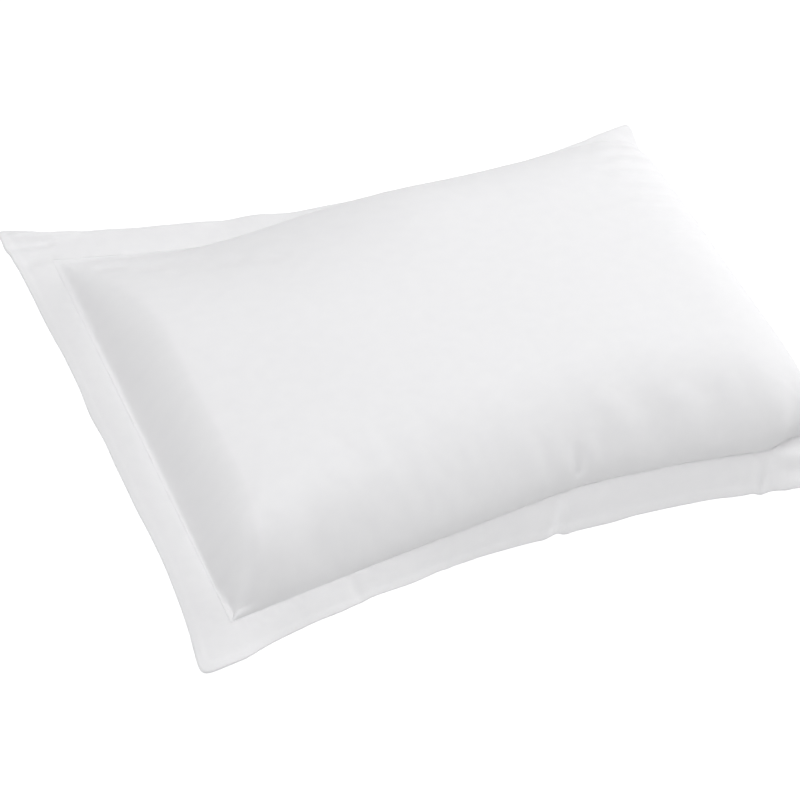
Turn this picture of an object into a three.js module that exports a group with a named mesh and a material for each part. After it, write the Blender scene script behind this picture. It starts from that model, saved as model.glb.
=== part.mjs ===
// Bed pillow in a bordered (Oxford) pillowcase, lying on its underside.
// Millimetres. Origin under the middle of the pillow at the level it rests on, +Z up,
// +X along the long side towards the mouth of the case, +Y along the short side.
import * as THREE from "three";

// Pillowcase, seen from above. SEAM is the stitched rectangle, EDGE the border's outer edge.
const SEAM_HALF_X = 370;
const SEAM_HALF_Y = 245;
const SEAM_BOW_Y = 32; // how far the filling draws in the middle of each long side
const EDGE_HALF_X = 420;
const EDGE_HALF_Y = 293;
const EDGE_BOW_X = 14;
const EDGE_BOW_Y = 38;
const CORNER_ROUNDING = 0.12; // share of the border's width that a corner's tip gives up

// Heights.
const SEAM_Z = 58;
const CROWN_RISE = 84; // top of the crown above the seam
const CROWN_FULLNESS = 8; // larger is flatter on top and steeper at the seam
const CROWN_ROUNDNESS = 2.2;
const BELLY_DROP = 66; // depth the underside would have if the bed did not flatten it
const BELLY_FULLNESS = 4;

// Cloth and thread.
const CLOTH = 1.2;
const PLY_GAP = 3.2; // between the border's two plies, room for the seam inside it
const CLEARANCE = 0.8; // between a piece and the cloth that it lies on
const THREAD = 0.8;

// Mouth of the case, on the underside near +X.
const MOUTH_INNER_X = 306; // hem of the back piece
const MOUTH_OUTER_X = 362;
const MOUTH_SHARE = 0.84; // part of the width between the long seams
const FLAP_HEM_X = 252;
const FLAP_FOLD_X = 367;
const FLAP_SHARE = 0.845;
const HEM_SHARE = 0.83; // part of that width that a hem's stitching takes
const HEM_INSET = 6; // from a hem's folded edge to its stitching
const HEM_THREAD_WIDTH = 1.4;
const BAR_TACK = { length: 14, width: 4 };
const CASE_LABEL = { low: [262, -150], high: [294, -120] };

// Inner pillow.
const TICKING_INSET = 12; // from the case's seam to the ticking's seam
const TICKING_FLANGE = 4; // seam allowance of the ticking
const TICKING_CLOTH = 0.8;
const TICKING_PLY_GAP = 1.6;
const TICKING_SLACK = 7; // height that the case stands clear of the ticking
const PIPING_RADIUS = 1.4;
const FILL_INSET = 14;
const FILL_SLACK = 6;
const FILL_RIM = 2; // half thickness of the filling at its edge
const CORE_RIM = 1;
const CORE_SHARE = 0.5; // part of the filling's height that the core takes
const CLOSING_HALF_LENGTH = 70; // of the hand-closed gap in the ticking's +X seam
const TICKING_LABEL = { low: [305, 60], high: [345, 100] };
const LABEL_THICKNESS = 0.8;

// Cells that the sheets are divided into, along X and along Y.
const CASE_CELLS = [22, 16];
const BACK_CELLS = [15, 20];
const BACK_MARGIN_LINE = 0.92; // an extra line between the mouth's ends and the long seams
const FLAP_CELLS = [7, 30];
const TICKING_CELLS = [14, 10];
const FILL_CELLS = [12, 8];
const LOOP_STEPS = [20, 6];

const white = (name, colour, roughness) =>
  new THREE.MeshStandardMaterial({ name, color: colour, roughness, metalness: 0 });
const PERCALE = white("percale", 0xf2f2f3, 0.85);
const TICKING = white("ticking", 0xe9e7e0, 0.9);
const FIBRE = white("fibre", 0xf4f3ee, 1);
const COTTON_THREAD = white("thread", 0xededee, 0.7);
const LABEL_TAPE = white("label_tape", 0xe6e6e6, 0.6);

// A stuffed outline: half sizes, and how far the long sides are drawn in at the middle.
const CASE_OUTLINE = { halfX: SEAM_HALF_X, halfY: SEAM_HALF_Y, bowY: SEAM_BOW_Y };
const TICKING_OUTLINE = inset(CASE_OUTLINE, TICKING_INSET);
const FILL_OUTLINE = inset(TICKING_OUTLINE, FILL_INSET);

function inset(outline, distance) {
  return { ...outline, halfX: outline.halfX - distance, halfY: outline.halfY - distance };
}

// Half the width between the long sides, at a share s of the half length.
function sideY(outline, s) {
  return outline.halfY - outline.bowY * (1 - s * s);
}

// How full the pillow is over a point: 0 on the outline, 1 in the middle.
function fullness(outline, x, y, power) {
  const s = Math.min(1, Math.abs(x) / outline.halfX);
  const t = Math.min(1, Math.abs(y) / sideY(outline, s));
  return (1 - s ** power) * (1 - t ** power);
}

const crown = (outline, rise) => (x, y) =>
  rise * fullness(outline, x, y, CROWN_FULLNESS) ** (1 / CROWN_ROUNDNESS);

// The belly sags as a dome and is cut off level where the bed carries it.
const belly = (outline, drop, floor) => (x, y) =>
  Math.min(floor, drop * fullness(outline, x, y, BELLY_FULLNESS));

const caseTop = (x, y) => SEAM_Z + PLY_GAP / 2 + CLOTH + crown(CASE_OUTLINE, CROWN_RISE)(x, y);
const CASE_BELLY = belly(CASE_OUTLINE, BELLY_DROP, SEAM_Z - PLY_GAP / 2 - CLOTH);
const caseUnder = (x, y) => SEAM_Z - PLY_GAP / 2 - CLOTH - CASE_BELLY(x, y);
const caseInside = (x, y) => caseUnder(x, y) + CLOTH;
const offset = (surface, distance) => (x, y) => surface(x, y) + distance;

// Both faces of a layer that lies on top of a surface, or hangs under it, with a gap between.
const above = (surface, gap, thickness) => ({
  top: offset(surface, gap + thickness),
  under: offset(surface, gap),
});
const below = (surface, gap, thickness) => ({
  top: offset(surface, -gap),
  under: offset(surface, -gap - thickness),
});

// Grid lines that crowd towards their ends, where the pillow turns down steeply.
function crowdedLines(cells, low = -1, high = 1) {
  return Array.from({ length: cells + 1 }, (_, i) => {
    const share = (1 + Math.sin(Math.PI * (i / cells - 0.5))) / 2;
    return low + (high - low) * share;
  });
}

function evenLines(low, high, cells) {
  return Array.from({ length: cells + 1 }, (_, i) => low + ((high - low) * i) / cells);
}

// A closed sheet between two surfaces over a grid. plan(u, v) gives a grid point's [x, y],
// and skip(i, j) leaves a cell out, so that the sheet has a hole there.
function sheet({ us, vs, plan, top, under, skip = () => false }) {
  const positions = [];
  const faces = [];
  const layer = us.length * vs.length;
  const index = (i, j, lower) => i * vs.length + j + (lower ? layer : 0);
  for (const surface of [top, under]) {
    for (const u of us) {
      for (const v of vs) {
        const [x, y] = plan(u, v);
        positions.push(x, y, surface(x, y));
      }
    }
  }
  const inside = (i, j) =>
    i >= 0 && j >= 0 && i < us.length - 1 && j < vs.length - 1 && !skip(i, j);
  const wall = (a, b) => {
    faces.push(index(...a, true), index(...b, true), index(...b, false));
    faces.push(index(...a, true), index(...b, false), index(...a, false));
  };
  for (let i = 0; i < us.length - 1; i++) {
    for (let j = 0; j < vs.length - 1; j++) {
      if (!inside(i, j)) continue;
      const corners = [[i, j], [i + 1, j], [i + 1, j + 1], [i, j + 1]];
      const [a, b, c, d] = corners.map(([m, n]) => index(m, n, false));
      faces.push(a, b, c, a, c, d);
      faces.push(a + layer, c + layer, b + layer, a + layer, d + layer, c + layer);
      const beyond = [[i, j - 1], [i + 1, j], [i, j + 1], [i - 1, j]];
      beyond.forEach((cell, k) => {
        if (!inside(...cell)) wall(corners[k], corners[(k + 1) % 4]);
      });
    }
  }
  return geometry(positions, faces);
}

function geometry(positions, faces) {
  const made = new THREE.BufferGeometry();
  made.setAttribute("position", new THREE.Float32BufferAttribute(positions, 3));
  made.setIndex(faces);
  const flat = made.toNonIndexed();
  flat.computeVertexNormals();
  return flat;
}

// A sheet over a plain rectangle of the plan, such as a label.
function patch(low, high, cells, faces) {
  return sheet({
    us: evenLines(low[0], high[0], cells[0]),
    vs: evenLines(low[1], high[1], cells[1]),
    plan: (x, y) => [x, y],
    ...faces,
  });
}

// A strip along Y whose ends keep the same share of the width between the case's long seams.
function crossStrip(lowX, highX, share, cells, faces) {
  return sheet({
    us: evenLines(lowX, highX, cells),
    vs: evenLines(-share, share, FLAP_CELLS[1]),
    plan: (x, t) => [x, t * sideY(CASE_OUTLINE, x / SEAM_HALF_X)],
    ...faces,
  });
}

// Plan of a bordered piece: |u| or |v| up to 1 is the panel, 1 to 2 is the border round it.
function borderedPlan(outline, edge) {
  return (u, v) => {
    const s = THREE.MathUtils.clamp(u, -1, 1);
    const t = THREE.MathUtils.clamp(v, -1, 1);
    const out = [Math.abs(u) - Math.abs(s), Math.abs(v) - Math.abs(t)];
    const rounded = out.map((share, k) => share * (1 - CORNER_ROUNDING * out[1 - k] ** 4));
    const seamX = s * outline.halfX;
    const seamY = t * sideY(outline, s);
    const widthX = edge.halfX - outline.halfX - edge.bowX * (1 - t * t);
    const widthY = edge.halfY - outline.halfY - (edge.bowY - outline.bowY) * (1 - s * s);
    return [
      seamX + Math.sign(u) * rounded[0] * widthX,
      seamY + Math.sign(v) * rounded[1] * widthY,
    ];
  };
}

const CASE_EDGE = {
  halfX: EDGE_HALF_X,
  halfY: EDGE_HALF_Y,
  bowX: EDGE_BOW_X,
  bowY: EDGE_BOW_Y,
};
const BORDER_LINES = [1.5, 2];
const withBorder = (lines) => [
  ...BORDER_LINES.map((line) => -line).reverse(),
  ...lines,
  ...BORDER_LINES,
];

function caseFront() {
  return sheet({
    us: withBorder(crowdedLines(CASE_CELLS[0])),
    vs: withBorder(crowdedLines(CASE_CELLS[1])),
    plan: borderedPlan(CASE_OUTLINE, CASE_EDGE),
    top: caseTop,
    under: offset(caseTop, -CLOTH),
  });
}

// The back piece is the same shape without its mouth, so two of its grid lines are the mouth's
// long edges and two more are its ends.
function caseBack() {
  const mouth = [MOUTH_INNER_X / SEAM_HALF_X, MOUTH_OUTER_X / SEAM_HALF_X];
  const acrossMouth = crowdedLines(BACK_CELLS[1], -MOUTH_SHARE, MOUTH_SHARE);
  const us = withBorder([...crowdedLines(BACK_CELLS[0], -1, mouth[0]), mouth[1], 1]);
  const vs = withBorder([-1, -BACK_MARGIN_LINE, ...acrossMouth, BACK_MARGIN_LINE, 1]);
  const isMouth = (i, j) =>
    us[i] === mouth[0] && Math.abs(vs[j] + vs[j + 1]) / 2 < MOUTH_SHARE;
  return sheet({
    us,
    vs,
    plan: borderedPlan(CASE_OUTLINE, CASE_EDGE),
    top: offset(caseUnder, CLOTH),
    under: caseUnder,
    skip: isMouth,
  });
}

// The flap hangs from its fold beside the +X seam and lies against the outside of the back.
const FLAP_FACES = below(caseUnder, CLEARANCE, CLOTH);

function caseFlap() {
  return crossStrip(FLAP_HEM_X, FLAP_FOLD_X, FLAP_SHARE, FLAP_CELLS[0], FLAP_FACES);
}

function hemThread(x, faces) {
  const half = HEM_THREAD_WIDTH / 2;
  return crossStrip(x - half, x + half, HEM_SHARE, 1, faces);
}

// Dense stitches beside each end of the mouth, just clear of the flap.
function barTack(side) {
  const edge = FLAP_SHARE * sideY(CASE_OUTLINE, MOUTH_INNER_X / SEAM_HALF_X);
  const y = side * (edge + BAR_TACK.width);
  return patch(
    [MOUTH_INNER_X - BAR_TACK.length, y - BAR_TACK.width / 2],
    [MOUTH_INNER_X, y + BAR_TACK.width / 2],
    [3, 1],
    below(caseUnder, CLEARANCE, THREAD),
  );
}

// One half of the inner pillow's cover, with its seam allowance as a narrow flange.
function tickingHalf(surface, side) {
  const flange = inset(TICKING_OUTLINE, -TICKING_FLANGE);
  const edge = { halfX: flange.halfX, halfY: flange.halfY, bowX: 0, bowY: SEAM_BOW_Y };
  const near = (x, y) => SEAM_Z + side * (TICKING_PLY_GAP / 2 + surface(x, y));
  const far = offset(near, side * TICKING_CLOTH);
  return sheet({
    us: [-2, ...crowdedLines(TICKING_CELLS[0]), 2],
    vs: [-2, ...crowdedLines(TICKING_CELLS[1]), 2],
    plan: borderedPlan(TICKING_OUTLINE, edge),
    top: side > 0 ? far : near,
    under: side > 0 ? near : far,
  });
}

// A part of the filling, between two faces.
function filling(faces) {
  return sheet({
    us: crowdedLines(FILL_CELLS[0]),
    vs: crowdedLines(FILL_CELLS[1]),
    plan: borderedPlan(FILL_OUTLINE, { ...FILL_OUTLINE, bowX: 0 }),
    ...faces,
  });
}

// A closed loop of constant section along an outline, at a height. section holds [out, up]
// points, counter-clockwise when seen with "out" to the right.
function loop(outline, height, section) {
  const along = evenLines(-1, 1, LOOP_STEPS[0]).slice(0, -1);
  const across = evenLines(-1, 1, LOOP_STEPS[1]).slice(0, -1);
  const at = (s, t) => new THREE.Vector2(s * outline.halfX, t * sideY(outline, s));
  const route = [
    ...along.map((s) => at(s, -1)),
    ...across.map((t) => at(1, t)),
    ...along.map((s) => at(-s, 1)),
    ...across.map((t) => at(-1, -t)),
  ];
  const count = route.length;
  const positions = [];
  const faces = [];
  route.forEach((point, i) => {
    const before = point.clone().sub(route[(i + count - 1) % count]).normalize();
    const after = route[(i + 1) % count].clone().sub(point).normalize();
    const tangent = before.clone().add(after).normalize();
    const outward = new THREE.Vector2(tangent.y, -tangent.x);
    const mitre = 1 / tangent.dot(after);
    for (const [out, up] of section) {
      const vertex = point.clone().addScaledVector(outward, out * mitre);
      positions.push(vertex.x, vertex.y, height + up);
    }
    section.forEach((_, k) => {
      const next = (k + 1) % section.length;
      const here = i * section.length;
      const there = ((i + 1) % count) * section.length;
      faces.push(here + k, there + k, there + next, here + k, there + next, here + next);
    });
  });
  return geometry(positions, faces);
}

// Section of a row of stitches: a small square bar, its middle at [out, up].
function threadSection(out, up) {
  const half = THREAD / 2;
  return [
    [out - half, up - half],
    [out + half, up - half],
    [out + half, up + half],
    [out - half, up + half],
  ];
}

function roundSection(out, radius, sides) {
  return Array.from({ length: sides }, (_, k) => {
    const angle = (2 * Math.PI * k) / sides;
    return [out + radius * Math.cos(angle), radius * Math.sin(angle)];
  });
}

const BORDER_THREAD_UP = PLY_GAP / 2 + CLOTH + CLEARANCE + THREAD / 2;
const BORDER_THREAD_OUT = 1.5;
const EDGE_SEAM_INSET = 8;
const EDGE_OUTLINE = {
  halfX: EDGE_HALF_X - EDGE_BOW_X - EDGE_SEAM_INSET,
  halfY: EDGE_HALF_Y - EDGE_SEAM_INSET - CORNER_ROUNDING * EDGE_SEAM_INSET,
  bowY: EDGE_BOW_Y,
};

// Heights of the inner pillow's layers above and below the seam plane.
const tickingRise = CROWN_RISE - TICKING_SLACK;
const tickingDrop = SEAM_Z - TICKING_PLY_GAP / 2 - TICKING_CLOTH - TICKING_SLACK;
const tickingCrown = crown(TICKING_OUTLINE, tickingRise);
const tickingBelly = belly(TICKING_OUTLINE, BELLY_DROP - TICKING_SLACK, tickingDrop);
const tickingUnder = (x, y) =>
  SEAM_Z - TICKING_PLY_GAP / 2 - TICKING_CLOTH - tickingBelly(x, y);
const fillCrown = crown(FILL_OUTLINE, tickingRise - FILL_SLACK - FILL_RIM);
const fillBelly = belly(
  FILL_OUTLINE,
  BELLY_DROP - TICKING_SLACK - FILL_SLACK,
  tickingDrop - FILL_SLACK - FILL_RIM,
);
const coreTop = (x, y) => SEAM_Z + CORE_RIM / 2 + CORE_SHARE * fillCrown(x, y);
const coreUnder = (x, y) => SEAM_Z - CORE_RIM / 2 - CORE_SHARE * fillBelly(x, y);

const fillCore = () => filling({ top: coreTop, under: coreUnder });

const fillTopLayer = () =>
  filling({
    top: (x, y) => SEAM_Z + FILL_RIM + fillCrown(x, y),
    under: offset(coreTop, CLEARANCE),
  });

const fillBottomLayer = () =>
  filling({
    top: offset(coreUnder, -CLEARANCE),
    under: (x, y) => SEAM_Z - FILL_RIM - fillBelly(x, y),
  });

// Blank labels: the case's lies on the inside of the back beside the mouth, the ticking's
// on the outside of the ticking where the mouth shows it.
function caseLabel() {
  const faces = above(caseInside, CLEARANCE, LABEL_THICKNESS);
  return patch(CASE_LABEL.low, CASE_LABEL.high, [4, 3], faces);
}

function tickingLabel() {
  const faces = below(tickingUnder, CLEARANCE, LABEL_THICKNESS);
  return patch(TICKING_LABEL.low, TICKING_LABEL.high, [6, 3], faces);
}

// The gap through which the pillow was filled, closed by hand along the ticking's flange.
function closingStitches() {
  const middle = TICKING_OUTLINE.halfX + TICKING_FLANGE / 2;
  const flangeTop = () => SEAM_Z + TICKING_PLY_GAP / 2 + TICKING_CLOTH;
  return patch(
    [middle - THREAD, -CLOSING_HALF_LENGTH],
    [middle + THREAD, CLOSING_HALF_LENGTH],
    [1, 8],
    above(flangeTop, CLEARANCE, THREAD),
  );
}

const PIECES = {
  case_front: [caseFront(), PERCALE],
  case_back: [caseBack(), PERCALE],
  case_flap: [caseFlap(), PERCALE],
  border_needle_thread: [
    loop(CASE_OUTLINE, SEAM_Z, threadSection(BORDER_THREAD_OUT, BORDER_THREAD_UP)),
    COTTON_THREAD,
  ],
  border_bobbin_thread: [
    loop(CASE_OUTLINE, SEAM_Z, threadSection(BORDER_THREAD_OUT, -BORDER_THREAD_UP)),
    COTTON_THREAD,
  ],
  edge_seam_thread: [loop(EDGE_OUTLINE, SEAM_Z, threadSection(0, 0)), COTTON_THREAD],
  mouth_hem_thread: [
    hemThread(MOUTH_INNER_X - HEM_INSET, above(caseInside, CLEARANCE, THREAD)),
    COTTON_THREAD,
  ],
  flap_hem_thread: [
    hemThread(FLAP_HEM_X + HEM_INSET, below(FLAP_FACES.under, CLEARANCE, THREAD)),
    COTTON_THREAD,
  ],
  bar_tack_front: [barTack(-1), COTTON_THREAD],
  bar_tack_back: [barTack(1), COTTON_THREAD],
  case_label: [caseLabel(), LABEL_TAPE],
  ticking_top: [tickingHalf(tickingCrown, 1), TICKING],
  ticking_bottom: [tickingHalf(tickingBelly, -1), TICKING],
  ticking_piping: [
    loop(
      inset(TICKING_OUTLINE, -TICKING_FLANGE - CLEARANCE - PIPING_RADIUS),
      SEAM_Z,
      roundSection(0, PIPING_RADIUS, 6),
    ),
    TICKING,
  ],
  ticking_seam_thread: [
    loop(TICKING_OUTLINE, SEAM_Z, threadSection(TICKING_FLANGE / 2, 0)),
    COTTON_THREAD,
  ],
  closing_stitches: [closingStitches(), COTTON_THREAD],
  ticking_label: [tickingLabel(), LABEL_TAPE],
  fill_core: [fillCore(), FIBRE],
  fill_top_layer: [fillTopLayer(), FIBRE],
  fill_bottom_layer: [fillBottomLayer(), FIBRE],
};

const group = new THREE.Group();
for (const [name, [shape, material]] of Object.entries(PIECES)) {
  const mesh = new THREE.Mesh(shape, material);
  mesh.name = name;
  group.add(mesh);
}

export default group;
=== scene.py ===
"""Bed pillow in a bordered (Oxford) pillowcase: its looks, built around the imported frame.

Metres, +Z up. The pillow lies on z = 0, -Y is its front, and +X is the end with the mouth.
A bordered piece of cloth is worked out over (u, v): up to 1 either way is the stuffed panel
inside the stitched rectangle, and from 1 to 2 is the flat border round it.
"""

import math

import bpy
import numpy as np
from mathutils import Matrix, Vector


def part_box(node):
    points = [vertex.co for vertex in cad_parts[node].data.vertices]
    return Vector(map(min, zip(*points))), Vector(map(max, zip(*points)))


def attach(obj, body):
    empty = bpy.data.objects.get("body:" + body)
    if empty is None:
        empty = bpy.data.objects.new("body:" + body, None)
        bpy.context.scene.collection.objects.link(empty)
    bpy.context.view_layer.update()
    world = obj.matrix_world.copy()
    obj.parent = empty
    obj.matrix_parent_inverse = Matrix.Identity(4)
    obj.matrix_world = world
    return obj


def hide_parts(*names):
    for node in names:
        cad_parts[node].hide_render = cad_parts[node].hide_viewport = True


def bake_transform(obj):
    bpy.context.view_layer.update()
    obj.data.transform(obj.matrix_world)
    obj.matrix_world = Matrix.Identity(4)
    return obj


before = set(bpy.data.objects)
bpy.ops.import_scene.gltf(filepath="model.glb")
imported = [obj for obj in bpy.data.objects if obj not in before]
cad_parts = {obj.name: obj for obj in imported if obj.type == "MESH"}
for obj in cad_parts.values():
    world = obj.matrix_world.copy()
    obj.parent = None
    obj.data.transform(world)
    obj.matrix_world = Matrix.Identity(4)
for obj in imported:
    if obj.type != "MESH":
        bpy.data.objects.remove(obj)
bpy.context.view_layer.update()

MM = 0.001

# ---- sizes from the frame

THREAD_REACH = 1.9 * MM  # the border's stitching reaches this far outside the seam
SEAM_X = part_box("border_needle_thread")[1].x - THREAD_REACH
SEAM_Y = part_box("border_needle_thread")[1].y - THREAD_REACH
SEAM_Z = (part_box("edge_seam_thread")[0].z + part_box("edge_seam_thread")[1].z) / 2
EDGE_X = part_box("case_front")[1].x
EDGE_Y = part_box("case_front")[1].y
TOP_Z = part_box("case_front")[1].z
FLAP_HEM_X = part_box("case_flap")[0].x
FLAP_FOLD_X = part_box("case_flap")[1].x
MOUTH_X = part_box("bar_tack_front")[1].x  # hem of the back piece, one side of the mouth
PIPING_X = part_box("ticking_piping")[1].x
PIPING_RADIUS = (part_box("ticking_piping")[1].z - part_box("ticking_piping")[0].z) / 2

# ---- the soft shape

PINCH_X = 52 * MM  # where the front seam is drawn in the most
FRONT_BOW = 43 * MM
BACK_BOW = 32 * MM
CORNER_PULL = 15 * MM  # how far the tucked front right corner is drawn in beside its end
EDGE_FRONT_BOW = 34 * MM
EDGE_BACK_BOW = 27 * MM
EDGE_LEFT_BOW = 8 * MM
EDGE_RIGHT_BOW = 9 * MM
EAR = 8 * MM  # how far a corner of the border stands out beyond its sides
TIP_POWER = 9  # larger is a sharper corner

RISE = TOP_Z - SEAM_Z
# Share of the crown's height lost on the way from the middle to each side and corner.
DOME_LEFT, DOME_RIGHT, DOME_SIDES = 0.24, 0.1, 0.09
SUNK = {(-1, -1): -0.25, (-1, 1): 0.75, (1, -1): 0.15, (1, 1): 0.25}
# How each side of the crown rolls down to its seam: width, power and root of roll().
LEFT_ROLL = (53 * MM, 2.6, 2.2)
RIGHT_ROLL = (95 * MM, 2.6, 0.5)
FRONT_ROLL = (110 * MM, 2.0, 0.56)
FRONT_LEFT_ROLL = (78 * MM, 2.2, 1.0)
FRONT_RIGHT_ROLL = (100 * MM, 2.0, 0.36)
BACK_ROLL = (95 * MM, 2.6, 0.5)
BACK_LEFT_ROLL = (190 * MM, 1.8, 1.0)
STEEPER = 0.3  # how much steeper the sides are at the front left corner
CORNER_POWER = 3.0  # larger is a sharper ridge where two sides meet
FRONT_LEFT_POWER = 1.7  # the same at the front left corner
BULGE_RIGHT = 13 * MM  # how far that side swells out over its seam
BULGE_BACK = 15 * MM
BULGE_INSIDE = 19 * MM  # it swells the most this far inside the seam

BELLY_DROP = 66 * MM  # how deep it would hang if no bed carried it
BELLY_POWER = 4
BELLY_SOFTNESS = 4 * MM  # height over which it comes to rest on the bed

CLOTH = 0.6 * MM  # thickness
PLY_HALF_GAP = 0.5 * MM  # half the air between the two plies of the border
RIM_HALF = 1.8 * MM  # half the border's thickness at its rim, with the turned-in seam inside
ALLOWANCE = 9 * MM  # width of the turned-in seam
CELL = 2.8 * MM  # of the cloth's grid
RIM_LINES = (2.6, 1.7, 0.9, 0.35, 0.0)  # close grid lines, in mm from the border's rim
LATTICE = 64  # cells of a noise field before it repeats
FLANK = 0.35  # a fold's flanks go the other way by this share of it
SETTLE = 7 * MM  # folds and wrinkles fade out this near a seam
PUCKER_RISE = 25  # puckers are whole from one part in this many of the border outwards

EDGE_RIPPLE = 1.6 * MM  # how far the border's outline strays
FAR_EAR = 1.5  # how much further back the back left ear stands out, for each EAR
BORDER_WAVE = 2.4 * MM  # at the rim, like the sags below
BORDER_SAG = {"back left": 6 * MM, "back": 13 * MM, "left": 9 * MM, "right": 16 * MM}
SAG_POWER = 1.8
DROOP = {"left ear": 4 * MM, "middle": 14 * MM, "right": 14 * MM}  # each adds to the one before
DRAWN_UNDER = 0.66  # how far a hanging edge comes in, for each metre that it drops
BORDER_CREASES = (-237, -112, 281, 325)  # mm along the front border
BORDER_CREASE_LEAN = 14 * MM
BORDER_CREASE_DEPTH = 0.9 * MM
BORDER_FOLD_WIDTH = 6 * MM
BORDER_FOLDS = (  # start, end and rise in mm
    (34, -214, 4, -255, 4.5),
    (303, -216, 278, -262, -3.5),
    (306, -226, 356, -238, 3.5),
    (-420, 276, -362, 273, -2.5),
    (-404, 290, -330, 284, 2.5),
    (-400, 250, -366, 252, -2.0),
)

PINCH_DEPTH = 9 * MM
CORNER_TUCK = {"length": 62 * MM, "width": 17 * MM, "depth": 9 * MM}  # front left
FRONT_FOLDS = ((14, 2, 44, 1.6), (322, 336, 50, 3.0))  # x at its start and end, length, depth in mm
GATHERS = {"pitch": 80 * MM, "first": 108 * MM, "depth": 2.2 * MM}  # along the front
BACK_LEFT_FOLD_DEPTH = 2.0 * MM
PLEATS = {"pitch": 23 * MM, "depth": 0.9 * MM}  # beside the back right corner

HEM_WIDTH = 12 * MM
HEM_THICKER = 0.4 * MM
MOUTH_SHARE = 0.84  # part of the width between the long seams
MOUTH = (MOUTH_X / SEAM_X, (FLAP_FOLD_X - 5 * MM) / SEAM_X)  # where it is open, in u
FLAP_SHARE = 0.845
FLAP_GAP = 0.9 * MM  # between the flap and the back that it lies on
FLAP_HEM_THICKER = 0.5 * MM
FLAP_ROOT_X = SEAM_X + THREAD_REACH  # the border's stitching catches the flap there


def drawn_in(x, middle, left_power, right_power, right_share=1.0):
    """1 where a long side is drawn in the most and 0 at its left end. right_share is how much
    of it is gone at the right end."""
    left = np.clip((middle - x) / (SEAM_X + middle), 0, 1) ** left_power
    right = np.clip((x - middle) / (SEAM_X - middle), 0, 1) ** right_power
    return 1 - left - right_share * right


def seam_y(x, back):
    """Distance from the middle line to the front or back seam at x."""
    front_bow = FRONT_BOW * drawn_in(x, PINCH_X, 1.15, 1.9, 0.75)
    front_bow = front_bow + CORNER_PULL * window(x, 345 * MM, 1, 55 * MM)
    back_bow = BACK_BOW * drawn_in(x, 0, 2, 2)
    return SEAM_Y - np.where(back, back_bow, front_bow)


def inside_seam(x, y):
    """Distance in from the nearest seam."""
    return np.minimum(SEAM_X - np.abs(x), seam_y(x, y > 0) - np.abs(y))


def roll(distance, shape):
    """0 on a seam, 1 a width or more inside it."""
    width, power, root = shape
    return (1 - (1 - np.clip(distance / width, 0, 1)) ** power) ** root


def side_rolls(x, y, inset=0.0):
    """How far the crown has risen from the end seams and from the long seams."""
    inside_x = SEAM_X - inset - np.abs(x)
    inside_y = seam_y(x, y > 0) - inset - np.abs(y)
    at_corner = window(x, -1, -335 * MM, 70 * MM) * window(y, -1, -205 * MM, 70 * MM)
    inside_x = inside_x * (1 + STEEPER * at_corner)
    inside_y = inside_y * (1 + STEEPER * at_corner)
    along = np.where(x > 0, roll(inside_x, RIGHT_ROLL), roll(inside_x, LEFT_ROLL))
    at_left = window(x, -1, -310 * MM, 200 * MM)
    at_right = window(x, 330 * MM, 1, 170 * MM)
    front = roll(inside_y, FRONT_RIGHT_ROLL) * at_right + roll(inside_y, FRONT_ROLL) * (1 - at_right)
    front = roll(inside_y, FRONT_LEFT_ROLL) * at_left + front * (1 - at_left)
    at_left = window(x, -1, -270 * MM, 320 * MM)
    back = roll(inside_y, BACK_LEFT_ROLL) * at_left + roll(inside_y, BACK_ROLL) * (1 - at_left)
    across = np.where(y > 0, back, front)
    return along, across


def crown(x, y, inset=0.0, slack=0.0):
    """Height of the top above the seam."""
    along, across = side_rolls(x, y, inset)
    s, t = x / SEAM_X, y / seam_y(x, y > 0)
    dome = 1 - np.where(s < 0, DOME_LEFT, DOME_RIGHT) * s**2 - DOME_SIDES * t**2
    for (end, side), depth in SUNK.items():
        near = np.clip(s * end, 0, 1) ** 5 * np.clip(t * side, 0, 1) ** 5
        dome = dome * (1 - depth * near)
    at_corner = window(x, -1, -300 * MM, 110 * MM) * window(y, -1, -170 * MM, 100 * MM)
    power = CORNER_POWER + (FRONT_LEFT_POWER - CORNER_POWER) * at_corner
    full = np.maximum(along, 1e-6) ** -power + np.maximum(across, 1e-6) ** -power
    return (RISE - slack) * dome * (full - 1) ** (-1 / power)


def belly(x, y, inset=0.0, slack=0.0):
    """Depth of the underside below the seam, cut off softly where the bed carries it."""
    s = np.minimum(1, np.abs(x) / (SEAM_X - inset))
    t = np.minimum(1, np.abs(y) / (seam_y(x, y > 0) - inset))
    depth = (BELLY_DROP - slack) * (1 - s**BELLY_POWER) * (1 - t**BELLY_POWER)
    limit = SEAM_Z - PLY_HALF_GAP - CLOTH - slack - BELLY_SOFTNESS
    past = np.clip(depth - limit, 0, None) / BELLY_SOFTNESS
    return np.minimum(depth, limit) + BELLY_SOFTNESS * (1 - np.exp(-past))


def noise(x, y, size, seed):
    """A smooth random field from -1 to 1, with lumps about size across."""
    draws = np.random.default_rng(seed).uniform(-1, 1, (LATTICE, LATTICE))
    i, j = x / size + LATTICE / 2, y / size + LATTICE / 2
    low_i, low_j = np.floor(i).astype(int), np.floor(j).astype(int)
    f, g = i - low_i, j - low_j
    f, g = f * f * (3 - 2 * f), g * g * (3 - 2 * g)

    def at(m, n):
        return draws[(low_i + m) % LATTICE, (low_j + n) % LATTICE]

    near = at(0, 0) * (1 - f) + at(1, 0) * f
    far = at(0, 1) * (1 - f) + at(1, 1) * f
    return near * (1 - g) + far * g


def window(x, low, high, fade):
    """1 between low and high, falling to 0 over a distance fade outside them."""
    rise = np.clip((x - low) / fade + 1, 0, 1)
    fall = np.clip((high - x) / fade + 1, 0, 1)
    return (rise * rise * (3 - 2 * rise)) * (fall * fall * (3 - 2 * fall))


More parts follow.
